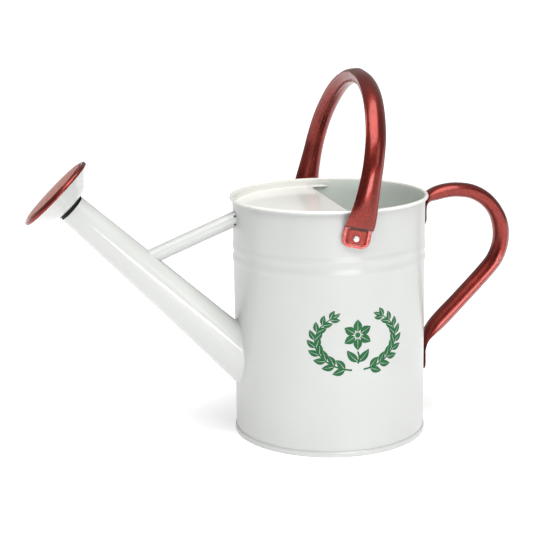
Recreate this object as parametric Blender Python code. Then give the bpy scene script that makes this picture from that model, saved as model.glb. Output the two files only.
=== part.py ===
"""Metal garden watering can with a swinging bail, a fixed rear handle and a pull-off rose.

Frame: +Z up, origin on the body's axis in the plane that the can stands on. The spout points
to -X, the rear handle is at +X and the bail is hinged about the Y axis. Units are metres.
Sheet-metal pieces that touch keep GAP between their faces.
"""
import math

import bmesh
import bpy
from mathutils import Matrix, Vector

X_AXIS = Vector((1.0, 0.0, 0.0))
Y_AXIS = Vector((0.0, 1.0, 0.0))
Z_AXIS = Vector((0.0, 0.0, 1.0))

GAP = 0.0003
SHEET = 0.0006
WELD = 0.000001

# Body: a straight cylinder with a curled rim and two swaged rings.
BODY_R = 0.0800
BODY_WALL_R = BODY_R - SHEET / 2
BODY_BOTTOM_Z = 0.0010
RIM_Z = 0.2005
CURL_R = 0.0013
CURL_END = math.radians(-115)
RIB_ZS = (0.1503, 0.1605)
RIB_HALF = 0.0045
RIB_CROWN_HALF = 0.0018
RIB_HEIGHT = 0.0005
BODY_STEPS = 48

# Base: a recessed disc whose edge wraps round the foot of the body.
BASE_PANEL_Z = 0.0023
BASE_PANEL_R = 0.0778
BASE_STEP_Z = 0.0015
SEAM_INNER_R = 0.0788
SEAM_OUTER_R = 0.0807
SEAM_TOP_Z = 0.0040

# Splash cover over the spout side of the mouth.
COVER_EDGE_X = 0.0015
COVER_EAR_X = 0.0190
COVER_EAR_HALF_Y = 0.0758
COVER_Z = 0.1950
COVER_CROWN = 0.0012
COVER_CROWN_PROFILE = ((0.0, 1.0), (0.040, 0.8), (0.066, 0.3), (0.0776, 0.0))
COVER_FLANGE_R = 0.0788
COVER_FLANGE_Z = 0.1960
COVER_TOP_Z = 0.1985
COVER_HEM_R = 0.0011
COVER_HEM_Z = 0.19536
COVER_HEM_HALF_Y = 0.0755

# Spout: a tapered tube. Lengths along it run back from the mouth towards the body.
SPOUT_MOUTH = Vector((-0.2132, 0.0, 0.2018))
SPOUT_RISE = math.radians(44.2)
SPOUT_MOUTH_R = 0.0120
SPOUT_TAPER = 0.041
SPOUT_END = 0.00135
SPOUT_LENGTH = 0.235
SPOUT_PORT_START = 0.150
SPOUT_PORT_MARGIN = 0.0010
SPOUT_STEPS = 32

# Brace between the spout and the body.
BRACE_FOOT = Vector((-0.0700, 0.0, 0.1890))
BRACE_HEAD = Vector((-0.1570, 0.0, 0.1544))
BRACE_R = 0.0063
BRACE_WALL = 0.0008

# Rose: pushed in by hand, so its axis is a little steeper than the spout's and leans to +Y.
ROSE_RISE = math.radians(46.0)
ROSE_LEAN = math.radians(4.5)
ROSE_HOLE_R = 0.00975
CUP_PROFILE = ((0.0125, 0.0), (0.0153, 0.0005), (0.0185, 0.0020), (0.0218, 0.0046),
               (0.0256, 0.0082), (0.0296, 0.0117), (0.0326, 0.0144))
PLATE_PROFILE = ((0.0, 0.0196), (0.014, 0.0194), (0.025, 0.0190), (0.0296, 0.0186),
                 (0.0308, 0.0180), (0.0315, 0.0176), (0.0323, 0.0178), (0.0332, 0.0176),
                 (0.0339, 0.0168), (0.0341, 0.0158), (0.0339, 0.0150))
ROSE_STEPS = 36
NECK_R = 0.0094
NECK_DEPTH = 0.0140
NECK_FLANGE_R = 0.0120
SEAL_R = 0.0122
SEAL_SLEEVE_R = 0.0108
SEAL_DEPTH = 0.0060
SEAL_TOP = 0.0005
SPRAY_HOLE_R = 0.0007
SPRAY_RINGS = 4
SPRAY_PITCH = 0.0065
SPRAY_PIN_Z = 0.0190
SPRAY_PIN_LENGTH = 0.0060
SMALL_TURN_STEPS = 24
SHARP_ANGLE = math.radians(32)

# Rolled handles: a strip rolled into a tube that is open along the inside of its bend.
ROLL_SHEET = 0.0008
ROLL_HALF_WIDTH = 0.0081
ROLL_HALF_DEPTH = 0.0063
ROLL_SLOT = math.radians(16)
ROLL_SIDES = 10
PATH_SAMPLES = 3
EAR_HALF_WIDTH = 0.0111
EAR_HALF_DEPTH = 0.0011
EAR = (EAR_HALF_WIDTH, EAR_HALF_DEPTH)
ROLL = (ROLL_HALF_WIDTH, ROLL_HALF_DEPTH)

# Bail, in its own frame: origin on the pivot axis, +Z towards the top of the arch.
BAIL_PIVOT = Vector((0.0, 0.0, 0.1800))
BAIL_LEAN = math.radians(12)
BAIL_EAR_Y = 0.0822
BAIL_LEG = ((0.0856, 0.0125, 0.0113, 0.0024), (0.0880, 0.0200, 0.0104, 0.0048),
            (0.0887, 0.0300, 0.0093, 0.0057), (0.0885, 0.0450, 0.0083, 0.0060))
BAIL_ARCH = ((0.0866, 0.0600), (0.0786, 0.0780), (0.0650, 0.0948), (0.0470, 0.1087),
             (0.0245, 0.1180), (0.0, 0.1213))

# Rear handle, in the XZ plane.
HANDLE_EAR_X = 0.0822
HANDLE_BEND_X = 0.1122
HANDLE_BEND_Z = 0.1584
HANDLE_BEND_R = 0.0412
HANDLE_RUN_SLOPE = math.radians(45.8)
RUN = (0.0085, 0.0070)
HANDLE_UPPER_RIVET_Z = 0.1815
HANDLE_LOWER_RIVET_Z = 0.0550

# Rivets and the washers under their inner heads.
RIVET_R = 0.0016
RIVET_HOLE_R = 0.0020
RIVET_HEAD_R = 0.0025
RIVET_HEAD_H = 0.0012
RIVET_INNER_HEAD_R = 0.0030
WASHER_R = 0.0045
WASHER_T = 0.0008
WASHER_FACE = 0.0780
RIVET_STEPS = 12
HOLE_SIDES = 12
HOLE_RUN = 0.0100

WHITE = ("white_enamel", (0.80, 0.81, 0.79), 0.30, 0.0)
RED = ("red_lacquer", (0.33, 0.045, 0.035), 0.32, 0.75)
RED_PLATE = ("red_plate", (0.40, 0.10, 0.08), 0.38, 0.60)
RUBBER = ("black_rubber", (0.015, 0.015, 0.016), 0.65, 0.0)
RIVET_METAL = ("rivet_metal", (0.86, 0.86, 0.85), 0.30, 0.9)
STEEL = ("plated_steel", (0.62, 0.62, 0.60), 0.35, 0.9)


def clear_scene():
    for obj in list(bpy.data.objects):
        bpy.data.objects.remove(obj, do_unlink=True)


def new_collection(name):
    collection = bpy.data.collections.new(name)
    bpy.context.scene.collection.children.link(collection)
    return collection


def finish_material(finish):
    name, colour, roughness, metallic = finish
    material = bpy.data.materials.get(name)
    if material is None:
        material = bpy.data.materials.new(name)
        material.use_nodes = True
        shader = material.node_tree.nodes["Principled BSDF"]
        shader.inputs["Base Color"].default_value = (*colour, 1.0)
        shader.inputs["Roughness"].default_value = roughness
        shader.inputs["Metallic"].default_value = metallic
    return material


def add_object(name, mesh, collection, finish=None, parent=None, matrix=None):
    obj = bpy.data.objects.new(name, mesh)
    collection.objects.link(obj)
    if finish:
        mesh.materials.append(finish_material(finish))
    if parent:
        obj.parent = parent
    if matrix:
        obj.matrix_local = matrix
    return obj


def add_empty(name, collection, matrix):
    empty = bpy.data.objects.new(name, None)
    empty.empty_display_size = 0.02
    empty.matrix_world = matrix
    collection.objects.link(empty)
    return empty


def arc(centre, radius, start, end, count):
    """Points (r, z) along an arc, its ends included."""
    step = (end - start) / (count - 1)
    angles = [start + step * i for i in range(count)]
    return [(centre[0] + radius * math.cos(a), centre[1] + radius * math.sin(a)) for a in angles]


def sheet_sides(line, thickness):
    """The two faces of a sheet that follows a line of (r, z) points: its left and its right."""
    points = [Vector(p) for p in line]
    left = []
    right = []
    for i, point in enumerate(points):
        ahead = points[min(i + 1, len(points) - 1)] - point
        behind = point - points[max(i - 1, 0)]
        ahead = ahead.normalized() if ahead.length else behind.normalized()
        behind = behind.normalized() if behind.length else ahead
        bisector = (ahead + behind).normalized()
        normal = Vector((-bisector.y, bisector.x))
        reach = thickness / 2 / max(bisector.dot(ahead), 0.5)
        left.append(tuple(point + normal * reach))
        right.append(tuple(point - normal * reach))
    return left, right


def sheet_outline(line, thickness):
    """A closed outline round a sheet. The line runs up its outer side, or out from the axis."""
    left, right = sheet_sides(line, thickness)
    return right[::-1] + left


def disc_outline(line, thickness):
    """An outline round a sheet whose line starts on the axis: from the axis and back to it."""
    top, underside = sheet_sides(line, thickness)
    top[0] = (0.0, top[0][1])
    underside[0] = (0.0, underside[0][1])
    return top + underside[::-1]


def mesh_from(shape, name):
    """The mesh of a bmesh, shaded smooth between its sharp edges."""
    bmesh.ops.recalc_face_normals(shape, faces=shape.faces)
    mesh = bpy.data.meshes.new(name)
    shape.to_mesh(mesh)
    shape.free()
    mesh.shade_smooth()
    mesh.set_sharp_from_angle(angle=SHARP_ANGLE)
    return mesh


def turned(name, outline, collection, finish=None, steps=BODY_STEPS, closed=True, parent=None,
           matrix=None):
    """A turned piece: an outline of (r, z) points turned about Z."""
    shape = bmesh.new()
    verts = [shape.verts.new((r, 0.0, z)) for r, z in outline]
    pairs = list(zip(verts, verts[1:]))
    if closed:
        pairs.append((verts[-1], verts[0]))
    edges = [shape.edges.new(pair) for pair in pairs]
    bmesh.ops.spin(shape, geom=verts + edges, axis=Z_AXIS, cent=(0.0, 0.0, 0.0),
                   angle=2 * math.pi, steps=steps)
    bmesh.ops.remove_doubles(shape, verts=shape.verts, dist=WELD)
    return add_object(name, mesh_from(shape, name), collection, finish, parent, matrix)


def along(origin, direction):
    """A frame at origin whose +Z is direction and whose +Y is the world's +Y."""
    z_axis = direction.normalized()
    y_axis = Z_AXIS if abs(z_axis.y) > 0.9 else Y_AXIS
    x_axis = y_axis.cross(z_axis).normalized()
    y_axis = z_axis.cross(x_axis)
    rotation = Matrix((x_axis, y_axis, z_axis)).transposed()
    return Matrix.Translation(origin) @ rotation.to_4x4()


def rod_cutter(name, matrix, radius_start, radius_end, start, end, cutters, parent=None, sides=24):
    """A cutter in the shape of a rod or cone along the +Z of matrix."""
    shape = bmesh.new()
    shift = Matrix.Translation((0.0, 0.0, (start + end) / 2))
    bmesh.ops.create_cone(shape, cap_ends=True, segments=sides, radius1=radius_start,
                          radius2=radius_end, depth=end - start, matrix=shift)
    return hide_cutter(add_object(name, mesh_from(shape, name), cutters, parent=parent,
                                  matrix=matrix))


def hole_cutter(name, matrix, start, end, cutters, parent=None):
    """A cutter for a rivet's hole."""
    return rod_cutter(name, matrix, RIVET_HOLE_R, RIVET_HOLE_R, start, end, cutters, parent,
                      HOLE_SIDES)


def handle_rivet_frames():
    """Where the rear handle's rivets are: origin on the body's axis, +Z out through the rivet."""
    levels = (("upper", HANDLE_UPPER_RIVET_Z), ("lower", HANDLE_LOWER_RIVET_Z))
    return [(level, along(Vector((0.0, 0.0, z)), X_AXIS)) for level, z in levels]


def box_cutter(name, low, high, cutters):
    shape = bmesh.new()
    centre = (Vector(low) + Vector(high)) / 2
    size = Vector(high) - Vector(low)
    matrix = Matrix.Translation(centre) @ Matrix.Diagonal((*size, 1.0))
    bmesh.ops.create_cube(shape, size=1.0, matrix=matrix)
    return hide_cutter(add_object(name, mesh_from(shape, name), cutters))


def hide_cutter(cutter):
    cutter.hide_render = True
    cutter.display_type = "WIRE"
    return cutter


def cut(obj, cutter, operation="DIFFERENCE"):
    boolean = obj.modifiers.new(cutter.name, "BOOLEAN")
    boolean.operation = operation
    boolean.solver = "EXACT"
    boolean.object = cutter


def spout_radius(distance):
    """Outer radius of the spout at a distance back from its mouth."""
    return SPOUT_MOUTH_R + SPOUT_TAPER * distance


def spout_frame():
    """Origin at the spout's mouth, +Z back down the spout towards the body."""
    back = Vector((math.cos(SPOUT_RISE), 0.0, -math.sin(SPOUT_RISE)))
    return along(SPOUT_MOUTH, back)


def rib_line(z):
    return [(BODY_WALL_R, z - RIB_HALF), (BODY_WALL_R + RIB_HEIGHT, z - RIB_CROWN_HALF),
            (BODY_WALL_R + RIB_HEIGHT, z + RIB_CROWN_HALF), (BODY_WALL_R, z + RIB_HALF)]


def make_body(can, cutters):
    line = [(BODY_WALL_R, BODY_BOTTOM_Z)]
    for z in RIB_ZS:
        line += rib_line(z)
    line += arc((BODY_WALL_R + CURL_R, RIM_Z), CURL_R, math.pi, CURL_END, 7)
    body = turned("body_shell", sheet_outline(line, SHEET), can, WHITE)
    margin = SHEET + SPOUT_PORT_MARGIN
    cut(body, rod_cutter("cut_spout_port", spout_frame(), spout_radius(SPOUT_PORT_START) - margin,
                         spout_radius(SPOUT_LENGTH) - margin, SPOUT_PORT_START, SPOUT_LENGTH,
                         cutters))
    bail_axis = along(Vector((0.0, 0.0, BAIL_PIVOT.z)), Y_AXIS)
    cut(body, hole_cutter("cut_bail_rivets", bail_axis, -BODY_R - HOLE_RUN, BODY_R + HOLE_RUN,
                          cutters))
    for level, frame in handle_rivet_frames():
        cut(body, hole_cutter(f"cut_handle_rivet_{level}", frame, BODY_R - HOLE_RUN,
                              BODY_R + HOLE_RUN, cutters))


def make_base(can):
    line = [(0.0, BASE_PANEL_Z), (BASE_PANEL_R, BASE_PANEL_Z), (SEAM_INNER_R, BASE_STEP_Z),
            (SEAM_INNER_R, SHEET / 2), (SEAM_OUTER_R, SHEET / 2), (SEAM_OUTER_R, SEAM_TOP_Z)]
    turned("base_plate", disc_outline(line, SHEET), can, WHITE, closed=False)


def make_cover(can, cutters):
    """A whole domed disc first; what lies over the mouth, apart from two ears, is cut away."""
    line = [(r, COVER_Z + COVER_CROWN * share) for r, share in COVER_CROWN_PROFILE]
    line += [(COVER_FLANGE_R, COVER_FLANGE_Z), (COVER_FLANGE_R, COVER_TOP_Z)]
    cover = turned("top_cover", disc_outline(line, SHEET), can, WHITE, closed=False)
    low_z = COVER_Z - HOLE_RUN
    high_z = COVER_TOP_Z + HOLE_RUN
    cut(cover, box_cutter("cut_cover_mouth", (COVER_EDGE_X, -COVER_EAR_HALF_Y, low_z),
                          (COVER_EAR_X + HOLE_RUN, COVER_EAR_HALF_Y, high_z), cutters))
    cut(cover, box_cutter("cut_cover_rest", (COVER_EAR_X, -BODY_R, low_z),
                          (BODY_R, BODY_R, high_z), cutters))
    hem_frame = along(Vector((COVER_EDGE_X, 0.0, COVER_HEM_Z)), Y_AXIS)
    hem = rod_cutter("join_cover_hem", hem_frame, COVER_HEM_R, COVER_HEM_R,
                     -COVER_HEM_HALF_Y, COVER_HEM_HALF_Y, cutters, sides=8)
    cut(cover, hem, "UNION")


def make_spout(can, cutters):
    line = [(spout_radius(SPOUT_END) - SHEET / 2, SPOUT_END),
            (spout_radius(SPOUT_LENGTH) - SHEET / 2, SPOUT_LENGTH)]
    spout = turned("spout_tube", sheet_outline(line, SHEET), can, WHITE, steps=SPOUT_STEPS,
                   matrix=spout_frame())
    cut(spout, body_cutter("cut_spout_foot", cutters))


def body_cutter(name, cutters):
    """The space that the body takes, with its gap, for pieces that are welded to its side."""
    return rod_cutter(name, Matrix.Identity(4), BODY_R + GAP, BODY_R + GAP, 0.0, RIM_Z, cutters,
                      sides=BODY_STEPS)


def make_brace(can, cutters):
    frame = along(BRACE_HEAD, BRACE_FOOT - BRACE_HEAD)
    length = (BRACE_FOOT - BRACE_HEAD).length
    outline = [(BRACE_R, length), (BRACE_R, 0.0), (BRACE_R - BRACE_WALL, 0.0),
               (BRACE_R - BRACE_WALL, length)]
    brace = turned("brace_tube", outline, can, WHITE, steps=SMALL_TURN_STEPS,
                   matrix=frame)
    cut(brace, body_cutter("cut_brace_foot", cutters))
    cut(brace, rod_cutter("cut_brace_head", spout_frame(), spout_radius(0.0) + GAP,
                          spout_radius(SPOUT_LENGTH) + GAP, 0.0, SPOUT_LENGTH, cutters,
                          sides=SPOUT_STEPS))


def make_rose(can, cutters):
    """The rose's pieces, in a frame with its origin in the spout's mouth and +Z outwards."""
    level = math.cos(ROSE_LEAN)
    outwards = Vector((-math.cos(ROSE_RISE) * level, math.sin(ROSE_LEAN),
                       math.sin(ROSE_RISE) * level))
    rose_axis = add_empty("rose_axis", can, along(SPOUT_MOUTH, outwards))
    seal = [(SEAL_R, SEAL_TOP), (SEAL_R, 0.0), (SEAL_SLEEVE_R, 0.0),
            (SEAL_SLEEVE_R, -SEAL_DEPTH), (ROSE_HOLE_R, -SEAL_DEPTH), (ROSE_HOLE_R, SEAL_TOP)]
    turned("rose_seal", seal, can, RUBBER, steps=SMALL_TURN_STEPS, parent=rose_axis)

    cup_base = SEAL_TOP + GAP + SHEET / 2
    flange = cup_base + SHEET / 2 + GAP
    neck = [(NECK_FLANGE_R, flange + SHEET), (NECK_FLANGE_R, flange), (NECK_R, flange),
            (NECK_R, -NECK_DEPTH), (NECK_R - SHEET, -NECK_DEPTH), (NECK_R - SHEET, flange + SHEET)]
    turned("rose_neck", neck, can, STEEL, steps=SMALL_TURN_STEPS, parent=rose_axis)

    bowl = [(ROSE_HOLE_R, cup_base)]
    bowl += [(r, cup_base + z) for r, z in CUP_PROFILE]
    turned("rose_cup", sheet_outline(bowl, SHEET), can, WHITE, steps=ROSE_STEPS, parent=rose_axis)

    plate = turned("rose_plate", disc_outline(PLATE_PROFILE, SHEET), can, RED_PLATE,
                   steps=ROSE_STEPS, closed=False, parent=rose_axis)
    cut(plate, spray_cutter(rose_axis, cutters))


def spray_cutter(rose_axis, cutters):
    """One cutter for all the spray holes: rings of short pins about the rose's axis."""
    shape = bmesh.new()
    for ring in range(SPRAY_RINGS + 1):
        count = max(1, 6 * ring)
        for i in range(count):
            angle = 2 * math.pi * (i + 0.5 * (ring % 2)) / count
            radius = ring * SPRAY_PITCH
            place = Matrix.Translation((radius * math.cos(angle), radius * math.sin(angle),
                                        SPRAY_PIN_Z))
            bmesh.ops.create_cone(shape, cap_ends=True, segments=6, radius1=SPRAY_HOLE_R,
                                  radius2=SPRAY_HOLE_R, depth=SPRAY_PIN_LENGTH, matrix=place)
    return hide_cutter(add_object("cut_spray_holes", mesh_from(shape, "cut_spray_holes"), cutters,
                                  parent=rose_axis))


def smooth_path(stations, per_span):
    """Samples of a Catmull-Rom curve through stations (a, b, half_width, half_depth)."""
    knots = [Vector(s) for s in stations]
    samples = []
    for i in range(len(knots) - 1):
        before = knots[max(i - 1, 0)]
        start, end = knots[i], knots[i + 1]
        after = knots[min(i + 2, len(knots) - 1)]
        for k in range(per_span):
            t = k / per_span
            samples.append(0.5 * (2 * start + (end - before) * t
                                  + (2 * before - 5 * start + 4 * end - after) * t * t
                                  + (3 * start - before - 3 * end + after) * t ** 3))
    samples.append(knots[-1])
    return samples


def roll_section(half_width, half_depth):
    """Outline of the rolled strip: (across, outwards) points, open towards the inside."""
    outer = []
    inner = []
    sweep = 2 * math.pi - 2 * ROLL_SLOT
    for i in range(ROLL_SIDES + 1):
        angle = -math.pi / 2 + ROLL_SLOT + sweep * i / ROLL_SIDES
        outer.append((half_width * math.cos(angle), half_depth * math.sin(angle)))
        inner.append(((half_width - ROLL_SHEET) * math.cos(angle),
                      (half_depth - ROLL_SHEET) * math.sin(angle)))
    return outer + inner[::-1]


def rolled_handle(name, samples, place, collection, finish, parent=None):
    """Lofts the rolled strip along samples (a, b, half_width, half_depth) of a plane path.

    place(a, b, across) turns a point of the path's plane, and its offset from it, into (x, y, z).
    The path is followed with the outside of its bend on its left.
    """
    shape = bmesh.new()
    rings = []
    for i, sample in enumerate(samples):
        ahead = samples[min(i + 1, len(samples) - 1)]
        behind = samples[max(i - 1, 0)]
        tangent = Vector((ahead[0] - behind[0], ahead[1] - behind[1])).normalized()
        outwards = Vector((-tangent.y, tangent.x))
        ring = []
        for across, out in roll_section(sample[2], sample[3]):
            point = Vector((sample[0], sample[1])) + outwards * out
            ring.append(shape.verts.new(place(point.x, point.y, across)))
        rings.append(ring)
    for ring, following in zip(rings, rings[1:]):
        for k in range(len(ring)):
            after = (k + 1) % len(ring)
            shape.faces.new((ring[k], ring[after], following[after], following[k]))
    shape.faces.new(rings[0][::-1])
    shape.faces.new(rings[-1])
    return add_object(name, mesh_from(shape, name), collection, finish, parent)


def bail_stations():
    """Half of the arch, from the end of an ear to the top: (y, height, half_width, half_depth)."""
    ear = [(BAIL_EAR_Y, -0.0074, 0.0062, EAR_HALF_DEPTH),
           (BAIL_EAR_Y, -0.0050, 0.0098, EAR_HALF_DEPTH),
           (BAIL_EAR_Y, -0.0012, *EAR), (BAIL_EAR_Y, 0.0075, *EAR)]
    arch = [(y, height, *ROLL) for y, height in BAIL_ARCH]
    return ear + list(BAIL_LEG) + arch


def make_bail(can, cutters):
    pivot = Matrix.Translation(BAIL_PIVOT) @ Matrix.Rotation(BAIL_LEAN, 4, "Y")
    pivot_axis = add_empty("bail_pivot", can, pivot)
    half = smooth_path(bail_stations(), PATH_SAMPLES)
    mirrored = [Vector((-s[0], s[1], s[2], s[3])) for s in half[:-1]]
    samples = mirrored + half[::-1]
    bail = rolled_handle("bail_handle", samples, lambda a, b, across: (across, a, b), can, RED,
                         pivot_axis)
    ear_axis = along(Vector((0.0, 0.0, 0.0)), Y_AXIS)
    cut(bail, hole_cutter("cut_bail_ears", ear_axis, -BODY_R - HOLE_RUN, BODY_R + HOLE_RUN,
                          cutters, pivot_axis))


def handle_stations():
    """The rear handle from its upper ear to its lower one: (x, z, half_width, half_depth)."""
    upper = [(HANDLE_EAR_X, 0.1730, 0.0080, EAR_HALF_DEPTH), (HANDLE_EAR_X, 0.1770, *EAR),
             (HANDLE_EAR_X, 0.1860, *EAR), (0.0834, 0.1908, 0.0106, 0.0022),
             (0.0870, 0.1946, 0.0094, 0.0044), (0.0935, 0.1972, 0.0085, 0.0058),
             (0.1020, 0.1991, *ROLL)]
    centre = (HANDLE_BEND_X, HANDLE_BEND_Z)
    turn_end = HANDLE_RUN_SLOPE - math.pi / 2
    bend = arc(centre, HANDLE_BEND_R, math.pi / 2, turn_end, 8)
    grip = [(x, z, *(ROLL if i < len(bend) // 2 else RUN)) for i, (x, z) in enumerate(bend)]
    lower = [(0.1180, 0.1052, *RUN), (0.0985, 0.0860, 0.0085, 0.0069),
             (0.0900, 0.0772, 0.0090, 0.0052), (0.0848, 0.0706, 0.0098, 0.0028),
             (HANDLE_EAR_X + 0.0004, 0.0640, 0.0108, 0.0013), (HANDLE_EAR_X, 0.0590, *EAR),
             (HANDLE_EAR_X, 0.0500, *EAR), (HANDLE_EAR_X, 0.0460, 0.0080, EAR_HALF_DEPTH)]
    return upper + grip + lower


def make_handle(can, cutters):
    samples = smooth_path(handle_stations(), PATH_SAMPLES)
    handle = rolled_handle("rear_handle", samples, lambda a, b, across: (a, across, b), can, RED)
    for level, frame in handle_rivet_frames():
        cut(handle, hole_cutter(f"cut_handle_ear_{level}", frame, BODY_R, BODY_R + HOLE_RUN,
                                cutters))


def make_rivet(name, frame, ear_face, can):
    """A rivet and its inner washer on a frame whose +Z points out of the body."""
    head = ear_face + GAP
    tail = WASHER_FACE - GAP
    outline = [(0.0, head + RIVET_HEAD_H), (RIVET_HEAD_R * 0.6, head + RIVET_HEAD_H * 0.85),
               (RIVET_HEAD_R, head + RIVET_HEAD_H * 0.3), (RIVET_HEAD_R, head), (RIVET_R, head),
               (RIVET_R, tail), (RIVET_INNER_HEAD_R, tail),
               (RIVET_INNER_HEAD_R * 0.8, tail - RIVET_HEAD_H), (0.0, tail - RIVET_HEAD_H)]
    turned(f"{name}_rivet", outline, can, RIVET_METAL, steps=RIVET_STEPS, closed=False, matrix=frame)
    washer = [(WASHER_R, WASHER_FACE + WASHER_T), (WASHER_R, WASHER_FACE),
              (RIVET_HOLE_R, WASHER_FACE), (RIVET_HOLE_R, WASHER_FACE + WASHER_T)]
    turned(f"{name}_washer", washer, can, STEEL, steps=RIVET_STEPS, matrix=frame)


def make_rivets(can):
    for side, outwards in (("front", -Y_AXIS), ("back", Y_AXIS)):
        frame = along(Vector((0.0, 0.0, BAIL_PIVOT.z)), outwards)
        make_rivet(f"bail_{side}", frame, BAIL_EAR_Y + EAR_HALF_DEPTH, can)
    for level, frame in handle_rivet_frames():
        make_rivet(f"handle_{level}", frame, HANDLE_EAR_X + EAR_HALF_DEPTH, can)


def main():
    clear_scene()
    can = new_collection("watering_can")
    cutters = new_collection("cutters")
    make_body(can, cutters)
    make_base(can)
    make_cover(can, cutters)
    make_spout(can, cutters)
    make_brace(can, cutters)
    make_rose(can, cutters)
    make_bail(can, cutters)
    make_handle(can, cutters)
    make_rivets(can)


main()
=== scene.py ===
"""Looks of the watering can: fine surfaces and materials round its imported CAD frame.

Frame: metres, +Z up, origin on the tank's axis in the plane that the can stands on. The spout
points to -X, the rear handle is at +X and the bail hangs on two rivets along Y.
"""

import math

import bmesh
import bpy
from mathutils import Matrix, Vector


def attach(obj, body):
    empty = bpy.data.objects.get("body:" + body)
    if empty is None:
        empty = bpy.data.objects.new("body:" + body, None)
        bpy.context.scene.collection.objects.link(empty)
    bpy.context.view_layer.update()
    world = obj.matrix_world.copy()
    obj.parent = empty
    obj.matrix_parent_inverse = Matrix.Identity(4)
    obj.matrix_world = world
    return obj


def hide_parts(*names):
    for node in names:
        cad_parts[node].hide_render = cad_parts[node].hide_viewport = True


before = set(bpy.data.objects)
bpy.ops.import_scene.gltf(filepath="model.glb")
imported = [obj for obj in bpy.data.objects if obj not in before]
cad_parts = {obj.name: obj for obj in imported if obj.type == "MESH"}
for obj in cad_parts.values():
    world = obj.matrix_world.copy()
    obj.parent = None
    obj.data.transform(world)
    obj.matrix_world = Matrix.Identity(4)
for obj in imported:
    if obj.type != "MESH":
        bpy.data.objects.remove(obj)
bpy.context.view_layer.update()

X_AXIS = Vector((1.0, 0.0, 0.0))
Y_AXIS = Vector((0.0, 1.0, 0.0))
Z_AXIS = Vector((0.0, 0.0, 1.0))
HERE = Matrix.Identity(4)

# Sizes in metres, as in the CAD part or within a fraction of a millimetre of it. The tank is a
# straight cylinder with a curled rim and two swaged rings.
SHEET = 0.0006
TANK_R = 0.0800
WALL_R = TANK_R - SHEET / 2
WALL_FOOT_Z = 0.0010
RIM_Z = 0.2005
CURL_R = 0.0013
CURL_END = math.radians(-115)
RIB_ZS = (0.1503, 0.1605)
RIB_HALF = 0.0045
RIB_HEIGHT = 0.0006

# Base: a recessed panel, seamed round the tank's foot.
PANEL_Z = 0.0023
PANEL_FLAT_R = 0.0600
SHOULDER_R = 0.0768
SHOULDER_BEND = 0.0010
FOOT_R = 0.0790
FOOT_BEND = 0.0002
SEAM_R = 0.0803
SEAM_BEND = 0.0004

# Cover over the spout side of the mouth.
COVER_Z = 0.1950
COVER_RISE = 0.0012
COVER_DOME_R = 0.0776
COVER_BEND = 0.0010
COVER_LIP_R = 0.0788
COVER_LIP_ZS = (0.1975, 0.1985)
COVER_EDGE_X = 0.0015
COVER_EAR_X = 0.0190
COVER_EAR_Y = 0.0758
HEM_R = 0.0012
HEM_Z = 0.19545
HEM_HALF = 0.0754

# Spout, measured back from its mouth, and the port in the tank that it opens into.
SPOUT_MOUTH = Vector((-0.2132, 0.0, 0.2018))
SPOUT_RISE = math.radians(44.2)
SPOUT_MOUTH_R = 0.0120
SPOUT_TAPER = 0.041
SPOUT_END = 0.00135
SPOUT_LENGTH = 0.235
PORT_START = 0.150
PORT_MARGIN = 0.0016

# Brace, with notches between its weld tabs.
BRACE_FOOT = Vector((-0.0700, 0.0, 0.1890))
BRACE_HEAD = Vector((-0.1570, 0.0, 0.1544))
BRACE_R = 0.0063
BRACE_WALL = 0.0008
NOTCH_R = 0.0009
NOTCH_SIDE = 0.0051
NOTCH_RISE = 0.0034
NOTCH_Z = 0.1846

# Rose and seal, measured out of the spout's mouth along the rose's own axis.
ROSE_RISE = math.radians(46.0)
ROSE_LEAN = math.radians(4.5)
ROSE_HOLE_R = 0.00975
NECK_R = 0.0094
NECK_BORE_R = 0.0088
NECK_END = -0.0140
COLLAR_R = 0.0120
SEAL_TOP = 0.0005
SEAL_R = 0.0108
SEAL_END = -0.0060
SEAL_FLANGE_R = 0.0120
SEAL_BEAD = 0.0004
SEAL_MIDDLE = 0.0002
PLATE_FACE_R = 0.0302
PLATE_FACE_Z = 0.0190
SPRAY_HOLE_R = 0.0007
SPRAY_RINGS = 4
SPRAY_PITCH = 0.0065

# Rolled handles. ROLL and RUN are half widths and half depths of the grips.
BAIL_PIVOT = Vector((0.0, 0.0, 0.1800))
BAIL_LEAN = math.radians(12)
EAR_OFFSET = 0.0822
EAR_HALF_WIDTH = 0.0111
EAR_HALF_DEPTH = 0.0011
ROLL = (0.0080, 0.0061)
RUN = (0.0084, 0.0068)
RIVET_HOLE_R = 0.0020
HANDLE_RIVET_ZS = (0.1815, 0.0550)

# How finely round surfaces are made.
ROUND_STEPS = 160
TUBE_STEPS = 96
SMALL_STEPS = 48
HOLE_STEPS = 24
SHARP_DEGREES = 38

# Limits of tools that cut right through.
THROUGH_WALL = (0.0700, 0.0900)
BELOW_COVER_Z = 0.1800
ABOVE_RIM_Z = 0.2100
OUTSIDE = 0.0900
OVERLAP = 0.0001


# -------- mesh helpers

def link(name, mesh, *materials):
    obj = bpy.data.objects.new(name, mesh)
    bpy.context.scene.collection.objects.link(obj)
    for material in materials:
        mesh.materials.append(material)
    return obj


def mesh_from(shape, name, matrix=HERE):
    mesh = bpy.data.meshes.new(name)
    shape.to_mesh(mesh)
    shape.free()
    mesh.transform(matrix)
    return mesh


def smooth(mesh, sharp_degrees=SHARP_DEGREES):
    mesh.shade_smooth()
    mesh.set_sharp_from_angle(angle=math.radians(sharp_degrees))


def along(origin, direction):
    """A frame at origin whose +Z is direction, and whose +Y stays close to the world's +Y."""
    z_axis = direction.normalized()
    y_axis = Z_AXIS if abs(z_axis.y) > 0.9 else Y_AXIS
    x_axis = y_axis.cross(z_axis).normalized()
    y_axis = z_axis.cross(x_axis)
    return Matrix.Translation(origin) @ Matrix((x_axis, y_axis, z_axis)).transposed().to_4x4()


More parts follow.
